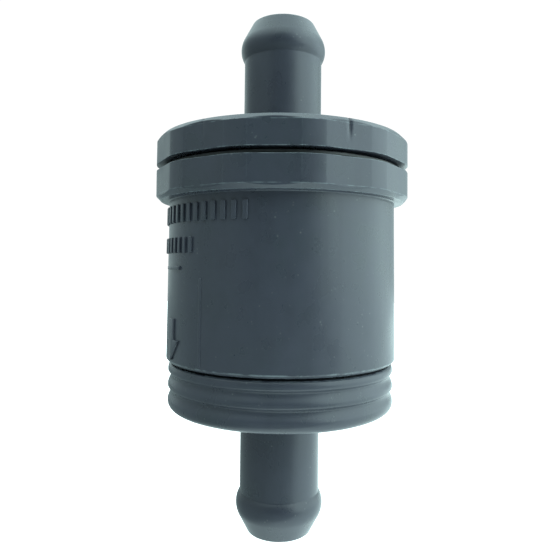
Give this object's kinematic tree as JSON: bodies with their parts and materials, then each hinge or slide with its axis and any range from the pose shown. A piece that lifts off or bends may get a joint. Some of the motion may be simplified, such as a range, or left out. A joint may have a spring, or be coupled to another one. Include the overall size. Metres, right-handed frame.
{
  "type": "in-line fuel filter",
  "caption": "In-line fuel filter: ribbed plastic canister with a screw-on flatted cap, a barbed hose spigot at each end and a spring-held pleated cartridge inside.",
  "frame": {"origin": "on the filter's axis, half-way between the two spigot tips", "axes": "+Z along the axis from the outlet spigot to the inlet spigot; a wrench flat of the cap and the collar faces +X; the flow arrow is on the -X side"},
  "size_m": [0.0502, 0.0502, 0.1036],
  "materials": {
    "housing_plastic": "satin glass-filled moulding",
    "seal_rubber": "matt",
    "washer_acetal": "smooth",
    "plated_steel": "zinc plated",
    "filter_paper": "resin-treated paper",
    "felt": "needled felt",
    "potting_resin": "cast"
  },
  "bodies": {
    "housing": {"housing_body": "housing_plastic", "outlet_end": "housing_plastic", "outlet_end_seal": "seal_rubber", "outlet_snap_ring": "plated_steel"},
    "cap_rings": {"cap_seal": "seal_rubber", "slip_washer": "washer_acetal"},
    "cap": {"inlet_cap": "housing_plastic", "upper_spring_seat": "plated_steel"},
    "cartridge": {"media_pleats": "filter_paper", "seam_clip": "plated_steel", "inner_fleece": "felt", "core_tube": "plated_steel", "outer_guard": "plated_steel", "bottom_potting": "potting_resin", "top_potting": "potting_resin", "bottom_disc": "plated_steel", "top_disc": "plated_steel", "outlet_grommet": "seal_rubber", "spring_cup": "plated_steel", "return_spring": "plated_steel"}
  },
  "joints": [
    {"name": "cap_lift", "type": "slide", "parent": "housing", "child": "cap_rings", "axis": [0, 0, 1], "range_m": [0, 0.006]},
    {"name": "cap_turn", "type": "hinge", "parent": "cap_rings", "child": "cap", "pos_m": [0, 0, 0.0212], "axis": [0, 0, 1], "range_deg": [0, 720]},
    {"name": "cartridge_float", "type": "slide", "parent": "housing", "child": "cartridge", "axis": [0, 0, 1], "range_m": [0, 0.003], "stiffness_N_per_m": 900, "springref_m": -0.006, "deforming": ["return_spring"]}
  ],
  "couplings": [
    {"joint": "cap_lift", "follows": "cap_turn", "m_per_rad": 0.00047746}
  ]
}
